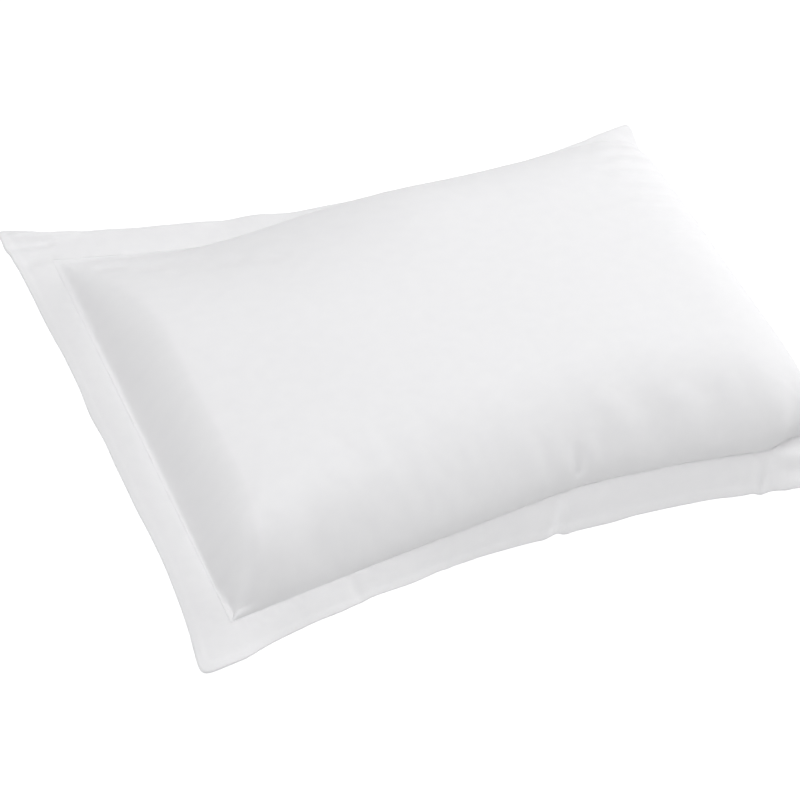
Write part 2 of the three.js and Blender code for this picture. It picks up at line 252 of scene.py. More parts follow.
def fold(x, y, start, end, width, fades_out=True):
    """A straight fold: 1 on its line, fading across its width and past its ends, and
    -FLANK along both flanks. With fades_out it is deep at its start and dies at its end."""
    along = np.array(end) - np.array(start)
    length = np.hypot(*along)
    t = ((x - start[0]) * along[0] + (y - start[1]) * along[1]) / length
    off = np.abs((x - start[0]) * along[1] - (y - start[1]) * along[0]) / length
    profile = np.exp(-((off / width) ** 2)) - FLANK * np.exp(-((off / width - 2) ** 2))
    strength = window(t, width, length - width, 2 * width)
    if fades_out:
        strength = strength * (1 - np.clip(t / length, 0, 1)) ** 0.8
    return profile * strength


# ---- plan of bordered cloth


def edge_x(t, right):
    """Half length of the border at a share t of the width."""
    bow = np.where(right, EDGE_RIGHT_BOW, EDGE_LEFT_BOW)
    return EDGE_X - EAR - bow * (1 - t**4)


def edge_y(s, back):
    bow = np.where(back, EDGE_BACK_BOW, EDGE_FRONT_BOW)
    return EDGE_Y - EAR / 2 - bow * (1 - s**2)


def front_droop(x):
    """How far the front border's edge hangs: most to the right, and little at its left ear."""
    middle = DROOP["middle"] * window(x, -290 * MM, 1, 120 * MM)
    right = DROOP["right"] * window(x, 40 * MM, 300 * MM, 330 * MM)
    return DROOP["left ear"] + middle + right


def bordered_plan(u, v):
    """Where the points of a bordered piece lie in plan, and their share of the border."""
    s, t = np.clip(u, -1, 1), np.clip(v, -1, 1)
    out_x, out_y = np.abs(u) - np.abs(s), np.abs(v) - np.abs(t)
    most = np.maximum(out_x, out_y)
    round_tip = most / np.maximum((out_x**TIP_POWER + out_y**TIP_POWER) ** (1 / TIP_POWER), 1e-9)
    out_x, out_y = out_x * round_tip, out_y * round_tip
    x, y = s * SEAM_X, t * seam_y(s * SEAM_X, v > 0)
    ear = EAR * out_x * out_y
    ripple = EDGE_RIPPLE * noise(s * SEAM_X, t * SEAM_Y, 42 * MM, 5)
    x = x + np.sign(u) * (out_x * (edge_x(t, u > 0) - SEAM_X + ripple) + ear)
    far_back = FAR_EAR * (v > 0) * (u < 0)
    width = edge_y(s, v > 0) - seam_y(s * SEAM_X, v > 0)
    width = width + ripple - np.where(v < 0, DRAWN_UNDER * front_droop(x), 0)
    y = y + np.sign(v) * (out_y * width + ear * (0.5 + far_back))
    return x, y, np.stack([out_x, out_y], -1)


def border_share(out):
    """0 at the stitched row, 1 at the rim."""
    return np.sum(out**TIP_POWER, -1) ** (1 / TIP_POWER)


def border_height(x, y, out):
    """Height of the middle of the border above the seam: it sags and waves at its edge."""
    out_x, out_y = out[..., 0], out[..., 1]
    share = border_share(out)
    flat_x, flat_y = 1 - (x / EDGE_X) ** 4, 1 - (y / EDGE_Y) ** 4
    more = (BORDER_SAG["back"] - BORDER_SAG["back left"]) * window(x, -50 * MM, 1, 130 * MM)
    back_sag = (BORDER_SAG["back left"] + more) * flat_x * out_y**SAG_POWER
    end_sag = np.where(x > 0, BORDER_SAG["right"], BORDER_SAG["left"]) * flat_y
    sag = np.where(y > 0, back_sag, front_droop(x) * out_y) + end_sag * out_x**SAG_POWER
    wave = noise(x, y, 85 * MM, 3) + 0.6 * noise(x, y, 38 * MM, 4)
    height = BORDER_WAVE * share**1.3 * wave - sag
    for k, crease_x in enumerate(BORDER_CREASES):
        lean = BORDER_CREASE_LEAN * (-1) ** k
        start = (crease_x * MM, -seam_y(crease_x * MM, False))
        end = (crease_x * MM + lean, -edge_y(crease_x * MM / SEAM_X, False))
        crease = fold(x, y, start, end, BORDER_FOLD_WIDTH, False) * (share > 0)
        height = height - BORDER_CREASE_DEPTH * crease
    for start_x, start_y, end_x, end_y, rise in BORDER_FOLDS:
        start, end = (start_x * MM, start_y * MM), (end_x * MM, end_y * MM)
        raised = fold(x, y, start, end, BORDER_FOLD_WIDTH, False) * share**0.5
        height = height + rise * MM * raised
    return height


def pucker(x, y, distance):
    """Short ripples beside a row of stitches, which the thread's tension leaves."""
    ripple = noise(x, y, 6.5 * MM, 11) * 0.45 * MM + noise(x, y, 13 * MM, 12) * 0.5 * MM
    return ripple * np.exp(-np.abs(distance) / (11 * MM))


def crown_folds(x, y):
    """The folds and creases that the top of the stuffed panel keeps."""
    height = 1.1 * MM * noise(x, y, 150 * MM, 21) + 0.2 * MM * noise(x, 2.2 * y, 60 * MM, 22)
    pinch_y = -seam_y(PINCH_X, False)
    pinch = fold(x, y, (PINCH_X + 3 * MM, pinch_y), (PINCH_X - 4 * MM, pinch_y + 26 * MM), 8 * MM)
    corner = (2 * MM - SEAM_X, 2 * MM - SEAM_Y)
    tuck_end = (corner[0] + CORNER_TUCK["length"], corner[1] + CORNER_TUCK["length"])
    tuck = fold(x, y, corner, tuck_end, CORNER_TUCK["width"])
    height = height - PINCH_DEPTH * pinch - CORNER_TUCK["depth"] * tuck
    for start_x, end_x, length, depth in FRONT_FOLDS:
        begin = (start_x * MM, -seam_y(start_x * MM, False) + 3 * MM)
        end = (end_x * MM, begin[1] + length * MM)
        height = height - depth * MM * fold(x, y, begin, end, 9 * MM)
    inside = seam_y(x, y > 0) - np.abs(y)
    gathers = np.cos(2 * math.pi * (x - GATHERS["first"]) / GATHERS["pitch"])
    gathers = gathers * window(x, 100 * MM, 230 * MM, 40 * MM)
    height = height + GATHERS["depth"] * gathers * window(inside, 14 * MM, 40 * MM, 25 * MM) * (y < 0)
    for k in range(3):
        begin = (-334 * MM + 34 * MM * k, 214 * MM - 22 * MM * k)
        end = (begin[0] + 118 * MM, begin[1] - 34 * MM)
        height = height - BACK_LEFT_FOLD_DEPTH * fold(x, y, begin, end, 9 * MM, False)
    pleat = np.sin(2 * math.pi * (y + 4 * MM * noise(x, y, 45 * MM, 23)) / PLEATS["pitch"])
    where = window(y, 60 * MM, 205 * MM, 50 * MM) * window(x, 310 * MM, 350 * MM, 70 * MM)
    return height + PLEATS["depth"] * pleat * where


# ---- cloth as a mesh


def cloth_mesh(name, top, under, flat, side=1, keep=None):
    """A closed sheet of cloth between two grids of points (n, m, 3), top being the lower one
    if side is -1. flat (n, m, 3) says where each point was in the cut piece and how much
    darker its colour is made near an edge, and keep (n-1, m-1) which cells there is cloth in."""
    if side < 0:
        top, under = under, top
    n, m = top.shape[:2]
    if keep is None:
        keep = np.ones((n - 1, m - 1), bool)
    index = np.arange(n * m).reshape(n, m)
    layer = n * m
    a, b, c, d = index[:-1, :-1], index[1:, :-1], index[1:, 1:], index[:-1, 1:]
    quads = np.stack([a, b, c, d], -1)[keep]
    faces = [quads, quads[:, ::-1] + layer]
    padded = np.pad(keep, 1)
    sides = {(0, -1): (a, b), (1, 0): (b, c), (0, 1): (c, d), (-1, 0): (d, a)}
    for (di, dj), (p, q) in sides.items():
        rim = keep & ~padded[1 + di : n + di, 1 + dj : m + dj]
        p, q = p[rim], q[rim]
        faces.append(np.stack([p + layer, q + layer, q, p], -1))
    points = np.concatenate([top.reshape(-1, 3), under.reshape(-1, 3)])
    twice = np.concatenate([flat.reshape(-1, 3)] * 2)
    return mesh_object(name, points, np.concatenate(faces), twice)


def add_object(name, data):
    made = bpy.data.objects.new(name, data)
    bpy.context.scene.collection.objects.link(made)
    return made


def mesh_object(name, points, faces, flat=None):
    """A mesh of the points that its faces use. flat is kept as the attribute cloth."""
    used = np.unique(faces)
    renumber = np.zeros(len(points), int)
    renumber[used] = np.arange(len(used))
    mesh = bpy.data.meshes.new(name)
    mesh.from_pydata(points[used].tolist(), [], renumber[faces].tolist())
    if flat is not None:
        mesh.attributes.new("cloth", "FLOAT_VECTOR", "POINT")
        mesh.attributes["cloth"].data.foreach_set("vector", flat[used].astype(np.float32).ravel())
    mesh.update()
    mesh.shade_smooth()
    mesh.set_sharp_from_angle(angle=math.radians(60))
    return add_object(name, mesh)


def lines(low, high, step):
    return np.linspace(low, high, max(2, round(abs(high - low) / step) + 1))


def bordered_lines(half, edge, extra=()):
    """Grid lines over border, panel and border, with close ones at the border's rim."""
    width = edge - half
    rim = 1 - np.array(RIM_LINES) * MM / width
    border = np.concatenate([lines(0, rim[0], CELL / width)[1:], rim[1:]]) + 1
    panel = np.sin(lines(-math.pi / 2, math.pi / 2, CELL / half * 1.25))
    return np.unique(np.concatenate([-border, panel, border, np.array(extra)]))


def bordered_grid(extra_u=(), extra_v=()):
    us = bordered_lines(SEAM_X, EDGE_X, extra_u)
    vs = bordered_lines(SEAM_Y, EDGE_Y, extra_v)
    return us, vs, *np.meshgrid(us, vs, indexing="ij")


def flat_cut(u, v):
    """Where a point of a bordered piece was in its rectangular cut, and how much darker its
    colour is made: most at the rim, and a little along the stitched row."""
    s, t = np.clip(u, -1, 1), np.clip(v, -1, 1)
    width = EDGE_X - SEAM_X
    share = np.maximum(np.abs(u), np.abs(v)) - 1
    # darker colour at the rim, and a little along the stitched row
    edge_dark = np.exp((share - 1) * width / (2.5 * MM)) + 0.3 * np.exp(-np.abs(share) * width / (2 * MM))
    return np.stack([s * SEAM_X + (u - s) * width, t * SEAM_Y + (v - t) * width, edge_dark], -1)


def half_thickness(out):
    """Half the border's thickness, from the stitched row to the rounded rim."""
    width = EDGE_X - SEAM_X
    from_rim = (1 - border_share(out)) * width
    swell = window(from_rim, -1 * MM, ALLOWANCE - 3 * MM, 7 * MM)
    full = PLY_HALF_GAP + CLOTH + (RIM_HALF - PLY_HALF_GAP - CLOTH) * swell
    over = np.clip(1 - from_rim / RIM_HALF, 0, 1)
    return full * np.sqrt(np.clip(1 - over**2, 0, 1))


def swelling(distance):
    """0 on a seam and far inside it, 1 at BULGE_INSIDE."""
    return np.clip(distance / BULGE_INSIDE, 0, None) * np.exp(1 - distance / BULGE_INSIDE)


def bulge(x, y, inset=0.0):
    """How far the back and right sides swell out over their seams, as plan offsets."""
    along, across = side_rolls(x, y, inset)
    out_x = BULGE_RIGHT * swelling(SEAM_X - inset - np.abs(x)) * across * (x > 0)
    out_x = out_x * (1 + 0.8 * np.clip(y / SEAM_Y, 0, 1))
    out_y = BULGE_BACK * swelling(seam_y(x, y > 0) - inset - np.abs(y)) * along * (y > 0)
    return out_x, out_y * window(x, -60 * MM, 1, 230 * MM)


def front_surface(u, v, wrinkles):
    """Middle of the case's front piece over (u, v), and how far its outer face is from it."""
    x, y, out = bordered_plan(u, v)
    share = border_share(out)
    in_panel = share <= 0
    to_seam = inside_seam(x, y)
    border = border_height(x, y, out)
    settle = window(to_seam, SETTLE, 1, SETTLE) * in_panel
    height = np.where(in_panel, crown(x, y) + crown_folds(x, y) * settle, border)
    puckered = np.minimum(1, PUCKER_RISE * share + settle)
    height = height + wrinkles * settle + pucker(x, y, to_seam) * puckered
    swell_x, swell_y = bulge(x, y)
    middle = np.stack([x + swell_x * in_panel, y + swell_y * in_panel, SEAM_Z + height], -1)
    return middle, half_thickness(out)


def normals(grid):
    """Upward unit normals of a grid of points."""
    up = np.cross(np.gradient(grid, axis=0), np.gradient(grid, axis=1))
    return up / np.maximum(np.linalg.norm(up, axis=-1, keepdims=True), 1e-12)


def bordered_cloth(name, surface, wrinkles, side, hole=None):
    """The case's front (side 1) or back (side -1), as cloth outside its middle surface. A hole
    is its ends in u and in v, and grid lines run along them."""
    us, vs, u, v = bordered_grid(*(hole or ()))
    middle, half = surface(u, v, wrinkles(us, vs))
    out = normals(middle) * side
    outer = middle + out * half[..., None]
    inner = outer - out * np.minimum(CLOTH, half * 0.98)[..., None]
    keep = None
    if hole:
        in_u = (us[:-1] >= hole[0][0]) & (us[1:] <= hole[0][1])
        in_v = (vs[:-1] >= hole[1][0]) & (vs[1:] <= hole[1][1])
        keep = ~(in_u[:, None] & in_v[None, :])
    return cloth_mesh(name, outer, inner, flat_cut(u, v), side, keep)


def back_surface(u, v, wrinkles):
    """Middle of the case's back piece over (u, v), and how far its outer face is from it."""
    x, y, out = bordered_plan(u, v)
    share = border_share(out)
    to_seam = inside_seam(x, y)
    height = np.where(share <= 0, wrinkles - belly(x, y), border_height(x, y, out))
    height = height + pucker(x, y, to_seam) * np.minimum(1, PUCKER_RISE * share)
    hem = window(x, MOUTH_X - HEM_WIDTH, MOUTH_X, 1 * MM)
    return np.stack([x, y, SEAM_Z + height], -1), half_thickness(out) + HEM_THICKER * hem


def case_front(wrinkles):
    return bordered_cloth("case_front_cloth", front_surface, wrinkles, 1)


def case_back(wrinkles):
    hole = (MOUTH, (-MOUTH_SHARE, MOUTH_SHARE))
    return bordered_cloth("case_back_cloth", back_surface, wrinkles, -1, hole)


def flap_surface(x, t):
    """Upper face of the flap at x and at a share t of its width."""
    y = t * FLAP_SHARE * seam_y(x, t > 0)
    hang = PLY_HALF_GAP + CLOTH + FLAP_GAP * window(x, 0, FLAP_FOLD_X - 1 * MM, 4 * MM)
    free = 1 - window(x, FLAP_HEM_X + 40 * MM, 1, 40 * MM)
    ripple = (0.8 * MM * noise(x, y, 34 * MM, 31) + 0.5 * MM * noise(x, y, 15 * MM, 32)) * free
    return np.stack([x, y, SEAM_Z - belly(x, y) - hang - np.abs(ripple)], -1)


def case_flap():
    xs = lines(FLAP_HEM_X, FLAP_ROOT_X, CELL)
    ts = lines(-1, 1, CELL / (FLAP_SHARE * SEAM_Y))
    x, t = np.meshgrid(xs, ts, indexing="ij")
    top = flap_surface(x, t)
    edge = np.minimum(x - FLAP_HEM_X, (1 - np.abs(t)) * FLAP_SHARE * SEAM_Y)
    hem = window(edge, -1, HEM_WIDTH, 1 * MM) * window(x, 0, FLAP_FOLD_X - 4 * MM, 3 * MM)
    thick = CLOTH + FLAP_HEM_THICKER * hem
    under = top - normals(top) * thick[..., None]
    # darker colour near the flap's edges
    edge_dark = np.exp(-edge / (2 * MM))
    return cloth_mesh("case_flap_cloth", top, under, np.stack([x, top[..., 1], edge_dark], -1))


# ---- inner pillow

TICKING_INSET = 12 * MM  # from the case's seam to the ticking's
TICKING_FLANGE = 4 * MM  # its seam allowance
TICKING_SLACK = 7 * MM  # how much lower it is than the case's crown
TICKING_HALF_GAP = 0.3 * MM
TICKING_LUMPS = 1.6 * MM


def inner_plan(u, v, inset, flange):
    """Plan of a piece inside the case: up to 1 is stuffed, 1 to 2 is its seam allowance."""
    s, t = np.clip(u, -1, 1), np.clip(v, -1, 1)
    x = s * (SEAM_X - inset) + (u - s) * flange
    y = t * (seam_y(s * SEAM_X, v > 0) - inset) + (v - t) * flange
    return x, y


def inner_lines(half):
    panel = np.sin(lines(-math.pi / 2, math.pi / 2, 2 * CELL / half))
    return np.concatenate([[-2, -1.5], panel, [1.5, 2]])


def inner_grid(inset, flange):
    u, v = np.meshgrid(inner_lines(SEAM_X), inner_lines(SEAM_Y), indexing="ij")
    return inner_plan(u, v, inset, flange)


def ticking_half(name, side):
    x, y = inner_grid(TICKING_INSET, TICKING_FLANGE)
    shape = crown if side > 0 else belly
    lumps = TICKING_LUMPS * noise(x, y, 60 * MM, 41 + side)
    height = shape(x, y, TICKING_INSET, TICKING_SLACK)
    to_seam = inside_seam(x, y) - TICKING_INSET
    soft = window(to_seam, 25 * MM, 1, 25 * MM)
    height = height + lumps * soft + 0.8 * pucker(x, y, to_seam) * (to_seam > 0)
    swell_x, swell_y = bulge(x, y, TICKING_INSET) if side > 0 else (0, 0)
    near = np.stack([x + swell_x, y + swell_y, SEAM_Z + side * (TICKING_HALF_GAP + height)], -1)
    far = near + side * normals(near) * (CLOTH * 0.7)
    # darker colour along the ticking's seam
    edge_dark = np.exp(-np.abs(to_seam) / (3 * MM))
    return cloth_mesh(name, far, near, np.stack([x, y, edge_dark], -1), side)


FILL_INSET = 26 * MM  # from the case's seam to the edge of the filling
FILL_SLACK = 15 * MM
CORE_SHARE = 0.5  # part of the filling's height that the core takes
CORE_GAP = 1.2 * MM
TUFTS = 1.5 * MM
CORE_FILL, LAYER_FILL = 0.7, 0.6  # how tightly each is stuffed


def filling(name, low_share, high_share):
    """A layer of the filling between two shares of its height: negative is below the seam."""
    x, y = (grid[2:-2, 2:-2] for grid in inner_grid(FILL_INSET, 0))
    up = crown(x, y, FILL_INSET, FILL_SLACK)
    down = belly(x, y, FILL_INSET, FILL_SLACK)
    tufts = noise(x, y, 22 * MM, 71) + 0.5 * noise(x, y, 9 * MM, 72)
    tufts = TUFTS * tufts * (up > 10 * MM)
    faces = []
    for share, side in ((high_share, 1), (low_share, -1)):
        height = share * np.where(share > 0, up, down)
        gap = side * (CORE_GAP if abs(share) < 1 else 0)
        faces.append(np.stack([x, y, SEAM_Z + height - gap + side * CORE_GAP + tufts * share], -1))
    return cloth_mesh(name, *faces, np.stack([x, y, 0 * x], -1))


# ---- thread, cord and labels

THREAD = 0.32 * MM  # radius
HAND_THREAD = 0.4 * MM  # radius of the closing stitches
HAND_STITCH = {"pitch": 3.6 * MM, "half width": 1.6 * MM, "slant": 2.2 * MM}
RINGS = 7  # of the mesh along each stitch
SIDES = 6


def stitches(name, starts, ends, ups, radius=THREAD):
    """Separate stitches: each rises from the cloth at its start and dives in at its end."""
    t = np.linspace(0, 1, RINGS)
    arch = np.sin(math.pi * t)
    lift = radius * (1.5 * arch**0.6 - 0.9)
    thick = radius * (0.45 + 0.55 * arch**0.5)
    along = ends - starts
    side = np.cross(along, ups)
    side = side / np.linalg.norm(side, axis=-1, keepdims=True)
    centre = starts[:, None] + along[:, None] * t[:, None] + ups[:, None] * lift[:, None]
    turn = np.arange(SIDES) * 2 * math.pi / SIDES
    ring = np.cos(turn)[:, None] * side[:, None, None] + np.sin(turn)[:, None] * ups[:, None, None]
    points = centre[:, :, None] + thick[None, :, None, None] * ring
    count = len(starts)
    index = np.arange(count * RINGS * SIDES).reshape(count, RINGS, SIDES)
    after = np.roll(index, -1, 2)
    walls = np.stack([index[:, :-1], index[:, 1:], after[:, 1:], after[:, :-1]], -1)
    first, last = index[:, 0], index[:, -1]
    # Two quads close each ring of six.
    caps = [first[:, [0, 1, 2, 3]], first[:, [0, 3, 4, 5]]]
    caps += [last[:, [3, 2, 1, 0]], last[:, [5, 4, 3, 0]]]
    faces = np.concatenate([walls.reshape(-1, 4), *caps])
    run = np.broadcast_to((np.arange(count)[:, None] + t)[..., None], index.shape)
    around = np.broadcast_to(turn, index.shape)
    flat = np.stack([run, around, 0 * run], -1).reshape(-1, 3)
    return mesh_object(name, points.reshape(-1, 3), faces, flat)


def paced(path, pitch):
    """The same line with its points a pitch apart."""
    steps = np.linalg.norm(np.diff(path, axis=0), axis=1)
    way = np.concatenate([[0], np.cumsum(steps)])
    count = max(2, round(way[-1] / pitch))
    at = np.linspace(0, way[-1], count + 1)
    return np.stack([np.interp(at, way, path[:, k]) for k in range(3)], -1)


STITCH = 2.8 * MM  # pitch
STITCH_GAP = 0.07  # part of the pitch that is free at each end of a stitch
PATH_POINTS = 200  # along each side of a round trip
HEM_POINTS = 150
UP = np.array([0.0, 0.0, 1.0])


def row(path):
    """Starts and ends of the stitches of a row along a line."""
    points = paced(path, STITCH)
    gap = (points[1:] - points[:-1]) * STITCH_GAP
    return points[:-1] + gap, points[1:] - gap


def row_of_stitches(name, path, ups):
    starts, ends = row(path)
    return stitches(name, starts, ends, np.broadcast_to(ups, starts.shape))


def round_trip(reach_u, reach_v):
    """(u, v) all the way round a rectangle, ending where it began."""
    there = np.linspace(-1, 1, PATH_POINTS)
    same = np.ones(PATH_POINTS)
    u = np.concatenate([there, same, -there, -same]) * reach_u
    v = np.concatenate([-same, there, same, -there]) * reach_v
    return np.append(u, u[0]), np.append(v, v[0])


def border_row(name, surface, side):
    """The row that makes the border, on its upper (side 1) or lower face."""
    reach = 1 + THREAD_REACH / (EDGE_X - SEAM_X)
    middle, half = surface(*round_trip(reach, reach), 0.0)
    return row_of_stitches(name, middle + side * UP * half[:, None], side * UP)


def edge_seam_row():
    """The seam that joins front and back, turned inside the border's rim."""
    reach = 2 - ALLOWANCE / (EDGE_X - SEAM_X)
    middle, _ = front_surface(*round_trip(reach, reach), 0.0)
    return row_of_stitches("edge_seam_stitches", middle, UP)


HEM_SHARE = 0.83  # part of the width between the long seams that a hem's stitching takes
HEM_STITCHING = 6 * MM  # from a hem's folded edge


def mouth_hem_rows():
    """The hem's stitching, which shows on both faces of the back."""
    v = np.linspace(-HEM_SHARE, HEM_SHARE, HEM_POINTS)
    u = np.full_like(v, (MOUTH_X - HEM_STITCHING) / SEAM_X)
    middle, half = back_surface(u, v, 0.0)
    outside = row(middle - UP * half[:, None])
    inside = row(middle - UP * (half - CLOTH)[:, None])
    ups = np.repeat([-UP, UP], [len(outside[0]), len(inside[0])], axis=0)
    starts, ends = (np.concatenate(pair) for pair in zip(outside, inside))
    return stitches("mouth_hem_stitches", starts, ends, ups)


def flap_hem_row():
    t = np.linspace(-HEM_SHARE / FLAP_SHARE, HEM_SHARE / FLAP_SHARE, HEM_POINTS)
    path = flap_surface(np.full_like(t, FLAP_HEM_X + HEM_STITCHING), t)
    return row_of_stitches("flap_hem_stitches", path - UP * (CLOTH + FLAP_HEM_THICKER), -UP)


def bar_tack(node, side):
    """Dense stitches that lock one end of the mouth, over three long ones."""
    low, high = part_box(node)
    width = high.y - low.y
    y = side * (FLAP_SHARE * seam_y(MOUTH_X, side > 0) + width)
    count = round((high.x - low.x) / (2 * THREAD))
    x = np.linspace(low.x, high.x, count)
    starts = np.stack([x, np.full(count, y - width / 2), 0 * x], -1)
    ends = np.stack([x + THREAD, np.full(count, y + width / 2), 0 * x], -1)
    for across in (-0.3, 0.0, 0.3):
        starts = np.append(starts, [[low.x, y + across * width, 0]], 0)
        ends = np.append(ends, [[high.x, y + across * width, 0]], 0)
    for points in (starts, ends):
        points[:, 2] = SEAM_Z - belly(points[:, 0], points[:, 1]) - PLY_HALF_GAP - CLOTH
    return stitches(node + "_stitches", starts, ends, np.broadcast_to(-UP, starts.shape))


def closing_stitches():
    """Slanting hand stitches along the edge through which the pillow was filled."""
    low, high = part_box("closing_stitches")
    y = np.linspace(low.y, high.y, round((high.y - low.y) / HAND_STITCH["pitch"]))
    x, reach = (low.x + high.x) / 2, HAND_STITCH["half width"]
    height = np.full_like(y, SEAM_Z + TICKING_HALF_GAP + CLOTH)
    sway = 0.4 * MM * noise(y, y, 5 * MM, 51)
    starts = np.stack([x - reach + sway, y, height], -1)
    ends = np.stack([x + reach + sway, y + HAND_STITCH["slant"], height], -1)
    ups = np.broadcast_to(UP, starts.shape)
    return stitches("closing_hand_stitches", starts, ends, ups, HAND_THREAD)


def inner_ring(inset, height):
    u, v = round_trip(1, 1)
    x, y = inner_plan(u, v, inset, 0)
    return np.stack([x, y, np.full_like(x, height)], -1)


PIPING_STEP = 2 * MM
PIPING_SIDES = 12
PIPING_GATHER = 0.05  # depth of a gather, as a share of the radius
PIPING_ROUNDING = 6  # rounds of smoothing at its corners


def piping():
    """The corded edge between the ticking's halves: a tube with slanting gathers."""
    ring = inner_ring(SEAM_X - PIPING_X + PIPING_RADIUS, SEAM_Z)
    path = paced(ring, PIPING_STEP)[:-1]
    for _ in range(PIPING_ROUNDING):
        path = (np.roll(path, 1, 0) + path + np.roll(path, -1, 0)) / 3
    count, sides = len(path), PIPING_SIDES
    side = np.cross(np.roll(path, -1, 0) - np.roll(path, 1, 0), UP)
    side = side / np.linalg.norm(side, axis=1, keepdims=True)
    turn = np.arange(sides) * 2 * math.pi / sides
    gathers = 1 + PIPING_GATHER * np.sin(3 * turn + np.arange(count)[:, None] * 1.1)
    out = np.cos(turn)[:, None] * side[:, None] + np.sin(turn)[:, None] * UP
    points = path[:, None] + PIPING_RADIUS * 0.97 * gathers[..., None] * out
    index = np.arange(count * sides).reshape(count, sides)
    ahead, after = np.roll(index, -1, 0), np.roll(index, -1, 1)
    faces = np.stack([index, ahead, np.roll(ahead, -1, 1), after], -1).reshape(-1, 4)
    run = np.arange(count)[:, None] * PIPING_STEP + 0 * turn
    flat = np.stack([run, turn * PIPING_RADIUS + 0 * run, 0 * run], -1).reshape(-1, 3)
    return mesh_object("ticking_piping_cord", points.reshape(-1, 3), faces, flat)


TAPE = 0.3 * MM
TAPE_CURL = 0.9 * MM
TAPE_GAP = 0.35 * MM  # between a label and what it lies on
LUMP_ROOM = 2 * MM  # clears the lumps of the ticking under its label


def label(node, surface, side):
    """A blank woven label that lies on a surface, its free end curling off a little."""
    low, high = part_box(node)
    xs, ys = lines(low.x, high.x, 1 * MM), lines(low.y, high.y, 1 * MM)
    x, y = np.meshgrid(xs, ys, indexing="ij")
    curl = TAPE_CURL * ((high.x - x) / (high.x - low.x)) ** 3
    curl = curl * (0.6 + 0.4 * noise(x, y, 12 * MM, 61))
    near = np.stack([x, y, surface(x, y) + side * (TAPE_GAP + curl)], -1)
    far = near + side * UP * TAPE
    return cloth_mesh(node + "_tape", far, near, np.stack([x, y, 0 * x], -1), side)


def back_inside(x, y):
    return SEAM_Z - belly(x, y) - PLY_HALF_GAP


def ticking_outside(x, y):
    depth = belly(x, y, TICKING_INSET, TICKING_SLACK)
    return SEAM_Z - TICKING_HALF_GAP - CLOTH - depth - LUMP_ROOM


# ---- cloth simulation

SIM_CELL = 6 * MM
SIM_FRAMES = 20
SIM_PRESSURE = 4
SIM_GROWTH = 0.02  # spare cloth, which is what wrinkles
WRINKLE_CAP = 2.5 * MM
WRINKLE_SHARE = {"front": 0.12, "back": 0.3}  # part of the simulated wrinkles that is kept
MORE_AT_MOUTH = 0.2  # how much more is kept there
MORE_ALONG_FRONT = 1.8
CALM_AT_CORNER = 0.75  # part that is lost again at the front corner of the mouth's end
SMOOTHING_ROUNDS = 60  # what this many rounds leave is the bag's shape, and the rest wrinkles


def grid_faces(index):
    """The cells of a grid of point numbers, as faces."""
    corners = [index[:-1, :-1], index[1:, :-1], index[1:, 1:], index[:-1, 1:]]
    return np.stack(corners, -1).reshape(-1, 4)


def bag_mesh(faces_of_bag):
    """One closed bag of the case's two panels, and which of its points are on the seam."""
    n, m = faces_of_bag[0].shape[:2]
    index = np.arange(n * m).reshape(n, m)
    seam = np.ones((n, m), bool)
    seam[1:-1, 1:-1] = False
    lower = np.where(seam, index, index + n * m)
    points = np.concatenate([grid.reshape(-1, 3) for grid in faces_of_bag])
    faces = np.concatenate([grid_faces(index), grid_faces(lower)[:, ::-1]])
    return points, faces, index[seam], seam


def smoothed(field, rounds):
    for _ in range(rounds):
        wide = np.pad(field, 1, mode="edge")
        near = wide[:-2, 1:-1] + wide[2:, 1:-1] + wide[1:-1, :-2] + wide[1:-1, 2:]
        field = (near + 4 * field) / 8
    return field


def settled_wrinkles():
    """Blows the stuffed bag up as cloth that has a little to spare, sewn down all round, and
    returns how far the wrinkles stand off its top and its underside."""
    us = lines(-1, 1, SIM_CELL / SEAM_X)
    vs = lines(-1, 1, SIM_CELL / SEAM_Y)
    u, v = np.meshgrid(us, vs, indexing="ij")
    starts = [front_surface(u, v, 0.0)[0], back_surface(u, v, 0.0)[0]]
    points, faces, on_seam, seam = bag_mesh(starts)
    bag = mesh_object("bag", points, faces)
    # The points on the seam are on the top's grid, so the bag keeps their numbers.
    bag.vertex_groups.new(name="sewn").add(on_seam.tolist(), 1.0, "REPLACE")
    cloth = bag.modifiers.new("cloth", "CLOTH")
    cloth.settings.vertex_group_mass = "sewn"
    cloth.settings.use_pressure = True
    cloth.settings.uniform_pressure_force = SIM_PRESSURE
    cloth.settings.shrink_min = -SIM_GROWTH
    cloth.settings.effector_weights.gravity = 0
    cloth.point_cache.frame_end = SIM_FRAMES
    for step in range(1, SIM_FRAMES + 1):
        bpy.context.scene.frame_set(step)
    settled = bag.evaluated_get(bpy.context.evaluated_depsgraph_get()).data
    moved = points.copy()
    moved[np.unique(faces)] = [vertex.co for vertex in settled.vertices]
    bpy.data.objects.remove(bag)
    bpy.context.scene.frame_set(1)
    rises = (moved - points)[:, 2].reshape(2, *u.shape)
    rises[1][seam] = rises[0][seam]
    wrinkles = [rise - smoothed(rise, SMOOTHING_ROUNDS) for rise in rises]
    return np.clip(wrinkles, -WRINKLE_CAP, WRINKLE_CAP)


def cubic_weights(places, count):
    """A matrix that carries values at 0, 1, 2... to places between them, smoothly."""
    base = np.clip(np.floor(places).astype(int), 0, count - 2)
    f = places - base
    weights = (
        -0.5 * f + f**2 - 0.5 * f**3,
        1 - 2.5 * f**2 + 1.5 * f**3,
        0.5 * f + 2 * f**2 - 1.5 * f**3,
        -0.5 * f**2 + 0.5 * f**3,
    )
    matrix = np.zeros((len(places), count))
    for k, weight in enumerate(weights):
        np.add.at(matrix, (np.arange(len(places)), np.clip(base + k - 1, 0, count - 1)), weight)
    return matrix


